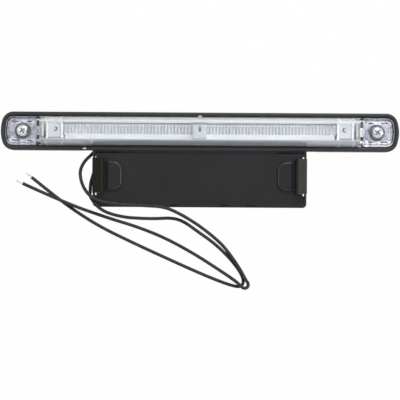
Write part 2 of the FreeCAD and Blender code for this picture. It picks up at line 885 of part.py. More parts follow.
def makeLed(label, side):
    # diode package on its board, with a low round dome facing the rod
    body = newBody(label)
    back = "%d * (led_face + led_thickness)" % side
    package = newSketch(body, "Package", "YZ_Plane", x="optic_shift", y="led_level", z=back)
    rectangle(package, ("-led_size / 2", "-led_width / 2"), ("led_size / 2", "led_width / 2"))
    pad(body, package, "led_thickness - led_dome", backward=side > 0)
    front = "%d * (led_face + led_dome)" % side
    dome = newSketch(body, "Dome", "YZ_Plane", x="optic_shift", y="led_level", z=front)
    circle(dome, "led_window")
    pad(body, dome, "led_dome", backward=side > 0)


def makeChips():
    def block(body, at, name):
        item = newSketch(body, "Block", "XY_Plane", x=at, z="board_top")
        rectangle(
            item,
            ("-%s_length / 2" % name, "-%s_width / 2" % name),
            ("%s_length / 2" % name, "%s_width / 2" % name),
        )
        return pad(body, item, name + "_height")

    block(newBody("driver_chip"), "chip_at", "chip")
    block(newBody("protection_diode"), "diode_at", "diode")
    group = newBody("resistors")
    group.AllowCompound = True
    first = block(group, "resistor_start", "resistor")
    count = 4
    row(group, [first], "X_Axis", "resistor_pitch * %d" % (count - 1), count)


def makeGland():
    body = newBody("cable_gland")
    block = newSketch(body, "Block", "XY_Plane", x="gland_at", y="gland_shift", z="boss_level")
    rectangle(block, ("-gland_length / 2", "-gland_width / 2"), ("gland_length / 2", "gland_width / 2"))
    pad(body, block, "web_level - boss_level")
    dress(body, "Fillet", "gland_edge", lambda edge, middle: upright(edge))


# Routes of the two wires after they leave the gland. The supply wire comes out at the plate's left side,
# climbs over its foot, folds back and crosses the return wire. The return wire stays on the ground.
supplyRoute = (
    (-58.4, 13.2, 1.5),
    (-60.8, 9.4, 1.2),
    (-64.6, 4.2, 1.2),
    (-68.8, -0.6, 1.3),
    (-71.9, -6.2, 2.4),
    (-72.2, -12.2, 4.6),
    (-70.2, -18.0, 7.4),
    (-66.6, -22.8, 10.4),
    (-61.4, -25.6, 11.0),
    (-53.4, -26.6, 10.8),
    (-43.2, -27.0, 10.4),
    (-31.9, -27.6, 10.4),
    (-21.8, -28.9, 10.0),
    (-12.9, -32.6, 6.6),
    (-3.2, -38.4, 2.6),
    (5.9, -44.3, 1.1),
    (13.9, -50.7, 1.1),
    (19.6, -57.9, 1.8),
    (24.6, -65.2, 2.4),
    (27.7, -70.5, 3.2),
    (30.4, -74.2, 4.0),
    (29.8, -78.1, 5.6),
    (25.9, -77.6, 6.8),
    (21.6, -73.0, 5.6),
    (10.8, -66.1, 2.2),
    (-3.7, -56.7, 1.1),
    (-20.7, -47.7, 1.1),
    (-37.1, -41.6, 1.1),
    (-52.8, -37.4, 1.3),
    (-66.0, -32.6, 3.2),
    (-75.0, -28.5, 6.0),
    (-85.3, -23.6, 6.0),
    (-95.7, -19.2, 2.6),
    (-106.4, -14.6, 1.5),
)
returnRoute = (
    (-58.4, 8.8, 1.5),
    (-60.9, 4.4, 1.2),
    (-62.2, -1.6, 1.2),
    (-64.3, -9.2, 1.2),
    (-66.8, -14.6, 1.1),
    (-67.6, -19.8, 1.1),
    (-66.9, -24.9, 1.1),
    (-64.6, -29.4, 1.1),
    (-60.0, -32.2, 1.1),
    (-51.4, -33.8, 1.1),
    (-39.6, -35.4, 1.1),
    (-27.0, -35.8, 1.1),
    (-17.2, -35.2, 1.1),
    (-9.9, -37.5, 1.1),
    (-0.8, -43.3, 1.1),
    (8.3, -49.6, 1.1),
    (16.2, -57.4, 1.1),
    (22.3, -64.9, 1.1),
    (25.7, -70.6, 1.1),
    (26.7, -74.4, 1.1),
    (24.3, -76.8, 1.1),
    (19.4, -75.8, 1.1),
    (13.0, -73.6, 1.1),
    (2.0, -69.3, 1.1),
    (-16.0, -61.5, 1.1),
    (-40.0, -50.5, 1.1),
    (-60.0, -40.3, 1.1),
    (-76.0, -30.2, 1.1),
    (-89.0, -20.6, 1.1),
    (-101.2, -10.8, 1.1),
)
arcShare = 0.45


def wirePath(points):
    # straight runs joined by tangent arcs, each arc as large as its two runs allow
    edges = []
    radii = []
    last = points[0]
    for before, corner, after in zip(points, points[1:], points[2:]):
        back = before - corner
        ahead = after - corner
        trim = arcShare * min(back.Length, ahead.Length)
        back.normalize()
        ahead.normalize()
        half = back.getAngle(ahead) / 2
        start = corner + back * trim
        end = corner + ahead * trim
        radius = trim * math.tan(half)
        bisector = (back + ahead).normalize()
        middle = corner + bisector * (radius / math.sin(half) - radius)
        edges.append(Part.LineSegment(last, start).toShape())
        edges.append(Part.Arc(start, middle, end).toShape())
        radii.append(radius)
        last = end
    edges.append(Part.LineSegment(last, points[-1]).toShape())
    return Part.Wire(edges), radii


def newSolid(label, shape):
    item = doc.addObject("Part::Feature", label)
    item.Label = label
    item.Shape = shape
    item.Placement = FreeCAD.Placement()
    parts.append(item)


def makeWire(label, side, route):
    x = number("gland_at - gland_length / 2")
    y = number("lamp_y + gland_shift + %d * wire_pitch / 2" % side)
    mouth = vector(x, y, number("wire_level"))
    lead = vector(-number("wire_lead"), 0, 0)
    points = [mouth, mouth + lead] + [vector(*point) for point in route]
    path, radii = wirePath(points)
    radius = number("wire_diameter / 2")
    first = points[1] - points[0]
    section = Part.Wire([Part.makeCircle(radius, points[0], first)])
    tube = path.makePipeShell([section], True, False)
    expected = math.pi * radius ** 2 * path.Length
    if abs(tube.Volume / expected - 1) > 0.01:
        raise RuntimeError("%s: volume %.1f, expected %.1f" % (label, tube.Volume, expected))
    newSolid(label, tube)
    last = points[-1] - points[-2]
    strand = Part.makeCylinder(number("strand_diameter / 2"), number("strand_length"), points[-1], last)
    newSolid(label + "_end", strand)
    print("%s: length %.1f, radii %s" % (label, path.Length, " ".join("%.1f" % value for value in radii)))


makeBracket()
makeLens()
makeBase()
makeScrews()
makeReflector()
makeGuide("light_guide_left", -1)
makeGuide("light_guide_right", 1)
makeClip()
makeHolder("end_holder_left", -1)
makeHolder("end_holder_right", 1)
makeBoards()
makeLed("led_left", -1)
makeLed("led_right", 1)
makeChips()
makeGland()
makeWire("supply_wire", 1, supplyRoute)
makeWire("return_wire", -1, returnRoute)

doc.recompute()
for item in doc.Objects:
    if "Invalid" in item.State or "Error" in item.State:
        raise RuntimeError("%s failed: %s" % (item.Label, item.State))
for part in parts:
    if part.Shape.isNull() or not part.Shape.isValid():
        raise RuntimeError("%s has no valid shape" % part.Label)

os.makedirs("parts", exist_ok=True)
for part in parts:
    part.Shape.exportStep("parts/%s.step" % part.Label)
    box = part.Shape.BoundBox
    print("%-18s %d solids, %.0f mm3, z %.2f to %.2f" % (
        part.Label, len(part.Shape.Solids), part.Shape.Volume, box.ZMin, box.ZMax))
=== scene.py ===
import json
import math

import bmesh
import bpy
from mathutils import Matrix, Vector


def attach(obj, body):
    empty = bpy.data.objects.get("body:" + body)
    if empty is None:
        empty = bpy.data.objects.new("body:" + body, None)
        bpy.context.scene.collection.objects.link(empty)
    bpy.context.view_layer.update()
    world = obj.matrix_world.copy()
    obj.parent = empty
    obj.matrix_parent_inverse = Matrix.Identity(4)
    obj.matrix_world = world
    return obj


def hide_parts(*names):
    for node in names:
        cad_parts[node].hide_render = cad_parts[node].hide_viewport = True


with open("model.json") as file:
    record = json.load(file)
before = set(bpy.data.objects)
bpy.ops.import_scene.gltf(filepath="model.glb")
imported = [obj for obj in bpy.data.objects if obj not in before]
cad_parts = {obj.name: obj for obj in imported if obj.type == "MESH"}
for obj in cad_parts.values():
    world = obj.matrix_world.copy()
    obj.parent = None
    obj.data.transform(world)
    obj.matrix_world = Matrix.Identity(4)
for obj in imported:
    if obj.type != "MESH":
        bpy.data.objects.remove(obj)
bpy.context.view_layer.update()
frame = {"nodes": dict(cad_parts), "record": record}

scene = bpy.context.scene
cadNodes = frame["nodes"]
scene.view_settings.view_transform = "Standard"


# Camera straight above, turned a little so that the lamp's right end sits lower
cameraView = {
    "place": (0.0003, -0.0239, 0.7),
    "turn": 0.34,        # degrees
    "focalLength": 104.4,
    "sensor": 36.0,
}


def placeCamera(view):
    data = bpy.data.cameras.new("camera")
    data.lens = view["focalLength"]
    data.sensor_width = view["sensor"]
    data.clip_start = 0.01
    camera = bpy.data.objects.new("camera", data)
    camera.location = view["place"]
    camera.rotation_euler = (0, 0, math.radians(view["turn"]))
    scene.collection.objects.link(camera)
    scene.camera = camera


placeCamera(cameraView)
print("camera placed")


# Small helpers for node trees

def newTree(name):
    material = bpy.data.materials.new(name)
    material.use_nodes = True
    tree = material.node_tree
    shader = tree.nodes["Principled BSDF"]
    return material, tree, shader


def addNode(tree, kind, **values):
    node = tree.nodes.new(kind)
    for key, value in values.items():
        if hasattr(node, key):
            setattr(node, key, value)
        else:
            node.inputs[key.replace("_", " ")].default_value = value
    return node


def noiseOn(tree, scale, detail=3.0):
    place = addNode(tree, "ShaderNodeTexCoord")
    noise = addNode(tree, "ShaderNodeTexNoise", Scale=scale, Detail=detail)
    tree.links.new(place.outputs["Object"], noise.inputs["Vector"])
    return noise.outputs["Fac"]


def rampColour(tree, factor, dark, pale, low=0.35, high=0.65):
    ramp = addNode(tree, "ShaderNodeValToRGB")
    ramp.color_ramp.elements[0].position = low
    ramp.color_ramp.elements[0].color = (*dark, 1)
    ramp.color_ramp.elements[1].position = high
    ramp.color_ramp.elements[1].color = (*pale, 1)
    tree.links.new(factor, ramp.inputs["Fac"])
    return ramp.outputs["Color"]


def rampValue(tree, factor, low, high):
    span = addNode(tree, "ShaderNodeMapRange", To_Min=low, To_Max=high)
    span.inputs["From Min"].default_value = 0.3
    span.inputs["From Max"].default_value = 0.7
    tree.links.new(factor, span.inputs["Value"])
    return span.outputs["Result"]


def addBump(tree, shader, height, strength, distance):
    bump = addNode(tree, "ShaderNodeBump", Strength=strength, Distance=distance)
    tree.links.new(height, bump.inputs["Height"])
    tree.links.new(bump.outputs["Normal"], shader.inputs["Normal"])


# Stage: white floor and world, which camera, mirror and glass rays see as plain white
stageSetup = {
    "floorSize": 4.0,
    "floorDrop": 0.0002,
    "floorColour": (0.9, 0.9, 0.9, 1),
    "floorGlow": 0.985,       # share of plain white that those rays see, the rest keeps the shadow
    "worldLight": 0.25,
    "worldSeen": 1.0,
    "worldMirrored": 0.85,   # share of it that mirror rays see
}


def seenRays(tree, mirrored):
    # camera, mirror and glass rays, but not light that reaches a matte surface through glass
    path = addNode(tree, "ShaderNodeLightPath")
    dim = addNode(tree, "ShaderNodeMath", operation="MULTIPLY")
    dim.inputs[1].default_value = mirrored
    first = addNode(tree, "ShaderNodeMath", operation="MAXIMUM")
    second = addNode(tree, "ShaderNodeMath", operation="MAXIMUM")
    seen = addNode(tree, "ShaderNodeMath", operation="SUBTRACT", use_clamp=True)
    tree.links.new(path.outputs["Is Glossy Ray"], dim.inputs[0])
    tree.links.new(path.outputs["Is Camera Ray"], first.inputs[0])
    tree.links.new(dim.outputs["Value"], first.inputs[1])
    tree.links.new(first.outputs["Value"], second.inputs[0])
    tree.links.new(path.outputs["Is Transmission Ray"], second.inputs[1])
    tree.links.new(second.outputs["Value"], seen.inputs[0])
    tree.links.new(path.outputs["Diffuse Depth"], seen.inputs[1])
    return seen.outputs["Value"]


def layFloor(setup):
    size = setup["floorSize"] / 2
    mesh = bpy.data.meshes.new("floor")
    corners = [(-size, -size), (size, -size), (size, size), (-size, size)]
    mesh.from_pydata([(x, y, -setup["floorDrop"]) for x, y in corners], [], [(0, 1, 2, 3)])
    floor = bpy.data.objects.new("floor", mesh)
    scene.collection.objects.link(floor)

    material, tree, shader = newTree("white floor")
    shader.inputs["Base Color"].default_value = setup["floorColour"]
    shader.inputs["Roughness"].default_value = 0.9
    glow = addNode(tree, "ShaderNodeEmission", Color=(1, 1, 1, 1), Strength=1.0)
    share = addNode(tree, "ShaderNodeMath", operation="MULTIPLY")
    share.inputs[1].default_value = setup["floorGlow"]
    tree.links.new(seenRays(tree, 1.0), share.inputs[0])
    mix = addNode(tree, "ShaderNodeMixShader")
    tree.links.new(share.outputs["Value"], mix.inputs["Fac"])
    tree.links.new(shader.outputs["BSDF"], mix.inputs[1])
    tree.links.new(glow.outputs["Emission"], mix.inputs[2])
    tree.links.new(mix.outputs["Shader"], tree.nodes["Material Output"].inputs["Surface"])
    mesh.materials.append(material)


def lightWorld(setup):
    world = bpy.data.worlds.new("studio")
    world.use_nodes = True
    scene.world = world
    tree = world.node_tree
    light = tree.nodes["Background"]
    light.inputs["Color"].default_value = (1, 1, 1, 1)
    light.inputs["Strength"].default_value = setup["worldLight"]
    seen = addNode(tree, "ShaderNodeBackground", Color=(1, 1, 1, 1), Strength=setup["worldSeen"])
    mix = addNode(tree, "ShaderNodeMixShader")
    tree.links.new(seenRays(tree, setup["worldMirrored"]), mix.inputs["Fac"])
    tree.links.new(light.outputs["Background"], mix.inputs[1])
    tree.links.new(seen.outputs["Background"], mix.inputs[2])
    tree.links.new(mix.outputs["Shader"], tree.nodes["World Output"].inputs["Surface"])


lamps = {
    "key lamp": {"place": (0.16, 0.45, 0.62), "size": 0.30, "power": 2.55},
    "fill lamp": {"place": (-0.50, 0.20, 0.60), "size": 0.60, "power": 0.5},
    "edge lamp": {"place": (1.20, -0.10, 0.55), "size": 0.60, "power": 4.2},
}


def hangLamps(setup):
    for name, lamp in setup.items():
        data = bpy.data.lights.new(name, "AREA")
        data.shape = "DISK"
        data.size = lamp["size"]
        data.energy = lamp["power"]
        light = bpy.data.objects.new(name, data)
        light.location = lamp["place"]
        light.rotation_euler = Vector(lamp["place"]).to_track_quat("Z", "Y").to_euler()
        scene.collection.objects.link(light)


layFloor(stageSetup)
lightWorld(stageSetup)
hangLamps(lamps)
print("stage lit")


# Finishes

def insideBox(tree, middle, half):
    # 1 inside a box of the object's own space that is mirrored about its middle, 0 outside
    place = addNode(tree, "ShaderNodeTexCoord")
    size = addNode(tree, "ShaderNodeVectorMath", operation="ABSOLUTE")
    away = addNode(tree, "ShaderNodeVectorMath", operation="SUBTRACT")
    scaled = addNode(tree, "ShaderNodeVectorMath", operation="MULTIPLY")
    split = addNode(tree, "ShaderNodeSeparateXYZ")
    side = addNode(tree, "ShaderNodeMath", operation="ABSOLUTE")
    join = addNode(tree, "ShaderNodeCombineXYZ")
    tree.links.new(place.outputs["Object"], split.inputs["Vector"])
    tree.links.new(split.outputs["X"], side.inputs[0])
    tree.links.new(side.outputs["Value"], join.inputs["X"])
    tree.links.new(split.outputs["Y"], join.inputs["Y"])
    tree.links.new(split.outputs["Z"], join.inputs["Z"])
    away.inputs[1].default_value = middle
    tree.links.new(join.outputs["Vector"], away.inputs[0])
    tree.links.new(away.outputs["Vector"], size.inputs[0])
    scaled.inputs[1].default_value = [1 / reach for reach in half]
    tree.links.new(size.outputs["Vector"], scaled.inputs[0])
    parts = addNode(tree, "ShaderNodeSeparateXYZ")
    tree.links.new(scaled.outputs["Vector"], parts.inputs["Vector"])
    wide = addNode(tree, "ShaderNodeMath", operation="MAXIMUM")
    most = addNode(tree, "ShaderNodeMath", operation="MAXIMUM")
    inside = addNode(tree, "ShaderNodeMath", operation="LESS_THAN")
    inside.inputs[1].default_value = 1.0
    tree.links.new(parts.outputs["X"], wide.inputs[0])
    tree.links.new(parts.outputs["Y"], wide.inputs[1])
    tree.links.new(wide.outputs["Value"], most.inputs[0])
    tree.links.new(parts.outputs["Z"], most.inputs[1])
    tree.links.new(most.outputs["Value"], inside.inputs[0])
    return inside.outputs["Value"]


def mixTones(tree, share, first, second):
    # the second tone is a colour or the output of another node
    mix = addNode(tree, "ShaderNodeMix", data_type="RGBA")
    tree.links.new(share, mix.inputs[0])
    tree.links.new(first, mix.inputs[6])
    if isinstance(second, tuple):
        mix.inputs[7].default_value = (*second, 1)
    else:
        tree.links.new(second, mix.inputs[7])
    return mix.outputs[2]


blackLook = {
    "dark": (0.0076, 0.0079, 0.0090),
    "pale": (0.0110, 0.0114, 0.0128),
    "shine": 0.34,
    "hookShine": 0.14,
    # painted reflection: hookTone tints the hooks' ramps olive, standing for the warm surroundings they
    # mirror
    "hookTone": (0.0155, 0.0148, 0.0095),
    "hookMiddle": (0.0605, -0.00955, 0.0100),
    "hookHalf": (0.0034, 0.0106, 0.0034),
    # painted highlight: stopTone makes the stops' top faces paler, as where light catches them
    "stopTone": (0.050, 0.051, 0.054),
    "stopMiddle": (0.0510, -0.00955, 0.00762),
    "stopHalf": (0.0047, 0.0090, 0.0005),
    "rimTone": (0.037, 0.0375, 0.0385),
    "rimMiddle": (0.0600, 0.01685, 0.0040),
    "rimHalf": (0.0600, 0.0125, 0.0060),
}


def mouldedBlack(look):
    material, tree, shader = newTree("moulded black plastic")
    cloud = noiseOn(tree, 60.0)
    tone = rampColour(tree, cloud, look["dark"], look["pale"])
    # boxes of other tones: an olive tint on the hooks that is a painted reflection, a paler top on the
    # stops that is a painted highlight, and a lighter black on the rim
    for piece in ("hook", "stop", "rim"):
        inside = insideBox(tree, look[piece + "Middle"], look[piece + "Half"])
        tone = mixTones(tree, inside, tone, look[piece + "Tone"])
    tree.links.new(tone, shader.inputs["Base Color"])
    shine = addNode(tree, "ShaderNodeMapRange", To_Min=look["shine"], To_Max=look["hookShine"])
    tree.links.new(insideBox(tree, look["hookMiddle"], look["hookHalf"]), shine.inputs["Value"])
    tree.links.new(shine.outputs["Result"], shader.inputs["Specular IOR Level"])
    tree.links.new(rampValue(tree, noiseOn(tree, 420.0), 0.27, 0.37), shader.inputs["Roughness"])
    addBump(tree, shader, noiseOn(tree, 2600.0, 2.0), 0.12, 0.00008)
    return material


def clearPlastic(name, tint, clear, bend, smooth, rough, ripple):
    material, tree, shader = newTree(name)
    shader.inputs["Base Color"].default_value = (*tint, 1)
    shader.inputs["Transmission Weight"].default_value = clear
    shader.inputs["IOR"].default_value = bend
    tree.links.new(rampValue(tree, noiseOn(tree, 90.0), smooth, rough), shader.inputs["Roughness"])
    addBump(tree, shader, noiseOn(tree, ripple, 1.0), 0.04, 0.0002)
    path = addNode(tree, "ShaderNodeLightPath")
    through = addNode(tree, "ShaderNodeBsdfTransparent", Color=(0.97, 0.98, 1, 1))
    mix = addNode(tree, "ShaderNodeMixShader")
    tree.links.new(path.outputs["Is Shadow Ray"], mix.inputs["Fac"])
    tree.links.new(shader.outputs["BSDF"], mix.inputs[1])
    tree.links.new(through.outputs["BSDF"], mix.inputs[2])
    tree.links.new(mix.outputs["Shader"], tree.nodes["Material Output"].inputs["Surface"])
    return material


lensLook = {
    "tint": (0.955, 0.97, 0.99),
    # painted reflection: a bluish tint over the front bevel
    "frontReflectionTint": (0.90, 0.955, 1.0),
    "frontMiddle": (0.0470, 0.00920, 0.0130),
    "frontHalf": (0.0475, 0.00200, 0.0055),
    # places with a share of matte white, painted light that makes them pale: the upper corners, the back
    # bevel, the front one and its ends,
    # the end walls, lines across both bevels beside the holders' bars, the screw seats
    "paintedLightShares": (
        {"middle": (0.0470, 0.02211, 0.0165), "half": (0.0475, 0.00036, 0.0030), "share": 0.80},
        {"middle": (0.0470, 0.01159, 0.0165), "half": (0.0475, 0.00036, 0.0030), "share": 0.80},
        {"middle": (0.0470, 0.02450, 0.0130), "half": (0.0475, 0.00200, 0.0055), "share": 0.34},
        {"middle": (0.0320, 0.00920, 0.0130), "half": (0.0320, 0.00200, 0.0055), "share": 0.14},
        {"middle": (0.0793, 0.00920, 0.0130), "half": (0.0153, 0.00200, 0.0055), "share": 0.36},
        {"middle": (0.0934, 0.01685, 0.0170), "half": (0.0014, 0.00560, 0.0040), "share": 0.24},
        {"middle": (0.0825, 0.02450, 0.0130), "half": (0.0006, 0.00200, 0.0055), "share": 0.62},
        {"middle": (0.0913, 0.02450, 0.0130), "half": (0.0006, 0.00200, 0.0055), "share": 0.62},
        {"middle": (0.0825, 0.00920, 0.0130), "half": (0.0006, 0.00200, 0.0055), "share": 0.72},
        {"middle": (0.0913, 0.00920, 0.0130), "half": (0.0006, 0.00200, 0.0055), "share": 0.72},
        {"middle": (0.1056, 0.01685, 0.0090), "half": (0.0048, 0.00480, 0.0015), "share": 0.15},
    ),
}


def clearLens(look):
    # clear plastic, with shares of matte white along its edges and bevels that are painted light, and a
    # bluish front bevel that is a painted reflection
    material = clearPlastic("clear lens plastic", look["tint"], 1.0, 1.3, 0.005, 0.03, 120.0)
    tree = material.node_tree
    shader = tree.nodes["Principled BSDF"]
    tint = addNode(tree, "ShaderNodeRGB")
    tint.outputs["Color"].default_value = (*look["tint"], 1)
    front = insideBox(tree, look["frontMiddle"], look["frontHalf"])
    tone = mixTones(tree, front, tint.outputs["Color"], look["frontReflectionTint"])
    tree.links.new(tone, shader.inputs["Base Color"])
    clear = shader.inputs["Transmission Weight"]
    for place in look["paintedLightShares"]:
        less = addNode(tree, "ShaderNodeMath", operation="MULTIPLY_ADD")
        less.inputs[1].default_value = -place["share"]
        less.inputs[2].default_value = 1.0
        tree.links.new(insideBox(tree, place["middle"], place["half"]), less.inputs[0])
        if clear.links:
            least = addNode(tree, "ShaderNodeMath", operation="MINIMUM")
            tree.links.new(clear.links[0].from_socket, least.inputs[0])
            tree.links.new(less.outputs["Value"], least.inputs[1])
            less = least
        tree.links.new(less.outputs["Value"], clear)
    return material


guideLook = {
    "start": 0.0055,
    "pitch": 0.00196,
    "lineCore": 0.14,        # half widths of a line, as shares of the pitch
    "lineEdge": 0.32,
    # the pale tone is the rod's own; the dark one is painted shade along the flutes
    "pale": (0.75, 0.75, 0.75),
    "dark": (0.50, 0.50, 0.50),
    "fadeFrom": 0.040,
    "fadeTo": 0.078,
    "endShare": 0.20,
    # painted light: a near-white strip above the lines that lifts the shadow on the rod's upper edge
    "paintedLightStripTone": (0.99, 0.99, 0.99),
    "paintedLightStripMiddle": (0.0420, 0.0204, 0.0130),
    "paintedLightStripHalf": (0.0420, 0.0010, 0.0060),
}


def flutedGuide(setup):
    # clear plastic with a grey line of painted shade along each flute, paler near the ends, and a
    # near-white strip of painted light beside them that lifts the shadow on the rod's upper edge
    material = clearPlastic("light guide acrylic", setup["pale"], 0.6, 1.49, 0.1, 0.2, 300.0)
    tree = material.node_tree
    shader = tree.nodes["Principled BSDF"]
    place = addNode(tree, "ShaderNodeTexCoord")
    split = addNode(tree, "ShaderNodeSeparateXYZ")
    tree.links.new(place.outputs["Object"], split.inputs["Vector"])
    side = addNode(tree, "ShaderNodeMath", operation="ABSOLUTE")
    tree.links.new(split.outputs["X"], side.inputs[0])
    start = addNode(tree, "ShaderNodeMath", operation="SUBTRACT")
    start.inputs[1].default_value = setup["start"]
    tree.links.new(side.outputs["Value"], start.inputs[0])
    wave = addNode(tree, "ShaderNodeMath", operation="PINGPONG")
    wave.inputs[1].default_value = setup["pitch"] / 2
    tree.links.new(start.outputs["Value"], wave.inputs[0])
    line = addNode(tree, "ShaderNodeMapRange", To_Min=1.0, To_Max=0.0)
    line.inputs["From Min"].default_value = setup["pitch"] * setup["lineCore"]
    line.inputs["From Max"].default_value = setup["pitch"] * setup["lineEdge"]
    tree.links.new(wave.outputs["Value"], line.inputs["Value"])
    fade = addNode(tree, "ShaderNodeMapRange", To_Min=1.0, To_Max=setup["endShare"])
    fade.inputs["From Min"].default_value = setup["fadeFrom"]
    fade.inputs["From Max"].default_value = setup["fadeTo"]
    tree.links.new(side.outputs["Value"], fade.inputs["Value"])
    share = addNode(tree, "ShaderNodeMath", operation="MULTIPLY")
    tree.links.new(line.outputs["Result"], share.inputs[0])
    tree.links.new(fade.outputs["Result"], share.inputs[1])
    lines = rampColour(tree, share.outputs["Value"], setup["pale"], setup["dark"], 0.0, 1.0)
    strip = insideBox(tree, setup["paintedLightStripMiddle"], setup["paintedLightStripHalf"])
    tone = mixTones(tree, strip, lines, setup["paintedLightStripTone"])
    tree.links.new(tone, shader.inputs["Base Color"])
    return material


whiteLook = {
    "dark": (0.82, 0.825, 0.835),
    "pale": (0.89, 0.895, 0.905),
    # painted shade: grey streaks over the white under the lens's ears
    "paintedEarShadeDark": (0.30, 0.29, 0.33),
    "paintedEarShadePale": (0.78, 0.785, 0.81),
    "earMiddle": (0.1085, 0.01685, 0.0085),
    "earHalf": (0.0105, 0.0120, 0.0050),
    # painted shade: grey veils over the middle of each ear and along its long edges
    "earPaintedShades": (
        {"middle": (0.1075, 0.01685, 0.0085), "half": (0.0105, 0.0046, 0.0050), "share": 0.42},
        {"middle": (0.1075, 0.02480, 0.0085), "half": (0.0105, 0.0013, 0.0050), "share": 0.62},
        {"middle": (0.1075, 0.00890, 0.0085), "half": (0.0105, 0.0013, 0.0050), "share": 0.62},
    ),
    "paintedShadeTone": (0.20, 0.19, 0.24),
    # painted shade: faceTone makes the holders' faces between their bars greyer
    "faceTone": (0.63, 0.64, 0.66),
    "faceMiddle": (0.08575, 0.01685, 0.0152),
    "faceHalf": (0.00385, 0.0060, 0.0008),
    "clipTone": (0.55, 0.57, 0.59),
    "clipMiddle": (0.0, 0.01685, 0.0155),
    "clipHalf": (0.00395, 0.0060, 0.0014),
    "markTone": (0.20, 0.21, 0.22),
    "markMiddle": (0.0, 0.01790, 0.0140),
    "markHalf": (0.00065, 0.0017, 0.0040),
    # painted shade: dark in the slots beside the ears
    "paintedSlotShadeTone": (0.03, 0.03, 0.055),
    "slotMiddle": ((0.0970, 0.02235, 0.0085), (0.0970, 0.01135, 0.0085)),
    "slotHalf": (0.0009, 0.0029, 0.0050),
}


def mouldedWhite(look):
    # white, with painted shade: streaked grey under the lens's ears, greyer on the holders' faces and dark
    # in the slots beside the ears
    material, tree, shader = newTree("moulded white plastic")
    tone = rampColour(tree, noiseOn(tree, 80.0), look["dark"], look["pale"])
    earShadeStreaks = rampColour(tree, noiseOn(tree, 420.0, 2.0), look["paintedEarShadeDark"], look["paintedEarShadePale"], 0.36, 0.56)
    tone = mixTones(tree, insideBox(tree, look["earMiddle"], look["earHalf"]), tone, earShadeStreaks)
    for veil in look["earPaintedShades"]:
        part = addNode(tree, "ShaderNodeMath", operation="MULTIPLY")
        part.inputs[1].default_value = veil["share"]
        tree.links.new(insideBox(tree, veil["middle"], veil["half"]), part.inputs[0])
        tone = mixTones(tree, part.outputs["Value"], tone, look["paintedShadeTone"])
    for piece in ("face", "clip", "mark"):
        inside = insideBox(tree, look[piece + "Middle"], look[piece + "Half"])
        tone = mixTones(tree, inside, tone, look[piece + "Tone"])
    for middle in look["slotMiddle"]:
        tone = mixTones(tree, insideBox(tree, middle, look["slotHalf"]), tone, look["paintedSlotShadeTone"])
    tree.links.new(tone, shader.inputs["Base Color"])
    tree.links.new(rampValue(tree, noiseOn(tree, 500.0), 0.38, 0.5), shader.inputs["Roughness"])
    addBump(tree, shader, noiseOn(tree, 1800.0, 2.0), 0.06, 0.00006)
    return material


def boardLaminate(name, dark, pale):
    material, tree, shader = newTree(name)
    speck = noiseOn(tree, 2200.0, 4.0)
    tree.links.new(rampColour(tree, speck, dark, pale), shader.inputs["Base Color"])
    tree.links.new(rampValue(tree, speck, 0.3, 0.42), shader.inputs["Roughness"])
    return material


def ledPhosphor():
    material, tree, shader = newTree("pale yellow phosphor")
    grain = noiseOn(tree, 3000.0, 3.0)
    tone = rampColour(tree, grain, (0.86, 0.81, 0.50), (0.95, 0.92, 0.68))
    tree.links.new(tone, shader.inputs["Base Color"])
    tree.links.new(rampValue(tree, grain, 0.25, 0.4), shader.inputs["Roughness"])
    return material


def chipBody():
    material, tree, shader = newTree("moulded chip body")
    grain = noiseOn(tree, 4000.0, 3.0)
    tone = rampColour(tree, grain, (0.025, 0.025, 0.028), (0.045, 0.045, 0.05))
    tree.links.new(tone, shader.inputs["Base Color"])
    tree.links.new(rampValue(tree, grain, 0.5, 0.65), shader.inputs["Roughness"])
    return material


def softBlack(name, dark, pale, shine, smooth, rough):
    material, tree, shader = newTree(name)
    shader.inputs["Specular IOR Level"].default_value = shine
    cloud = noiseOn(tree, 240.0)
    tree.links.new(rampColour(tree, cloud, dark, pale), shader.inputs["Base Color"])
    tree.links.new(rampValue(tree, noiseOn(tree, 900.0), smooth, rough), shader.inputs["Roughness"])
    addBump(tree, shader, noiseOn(tree, 3200.0, 2.0), 0.08, 0.00005)
    return material


def platedMetal(name, dark, pale, smooth, rough):
    material, tree, shader = newTree(name)
    shader.inputs["Metallic"].default_value = 1.0
    grain = noiseOn(tree, 1400.0)
    tree.links.new(rampColour(tree, grain, dark, pale), shader.inputs["Base Color"])
    tree.links.new(rampValue(tree, noiseOn(tree, 700.0), smooth, rough), shader.inputs["Roughness"])
    addBump(tree, shader, noiseOn(tree, 5000.0, 2.0), 0.05, 0.00003)
    return material


# painted shade down in the screws' cross recesses
recessShadeLook = {
    "tone": (0.30, 0.32, 0.34),
    "middle": (0.1056, 0.01685, 0.0098),
    "half": (0.0022, 0.0022, 0.0008),
}


def zincScrew(look):
    # bright plating, with painted shade down in the cross recess
    material = platedMetal("zinc plated steel", (0.60, 0.62, 0.64), (0.76, 0.775, 0.79), 0.2, 0.34)
    tree = material.node_tree
    shader = tree.nodes["Principled BSDF"]
    plating = shader.inputs["Base Color"].links[0].from_socket
    recess = insideBox(tree, look["middle"], look["half"])
    tree.links.new(mixTones(tree, recess, plating, look["tone"]), shader.inputs["Base Color"])
    return material


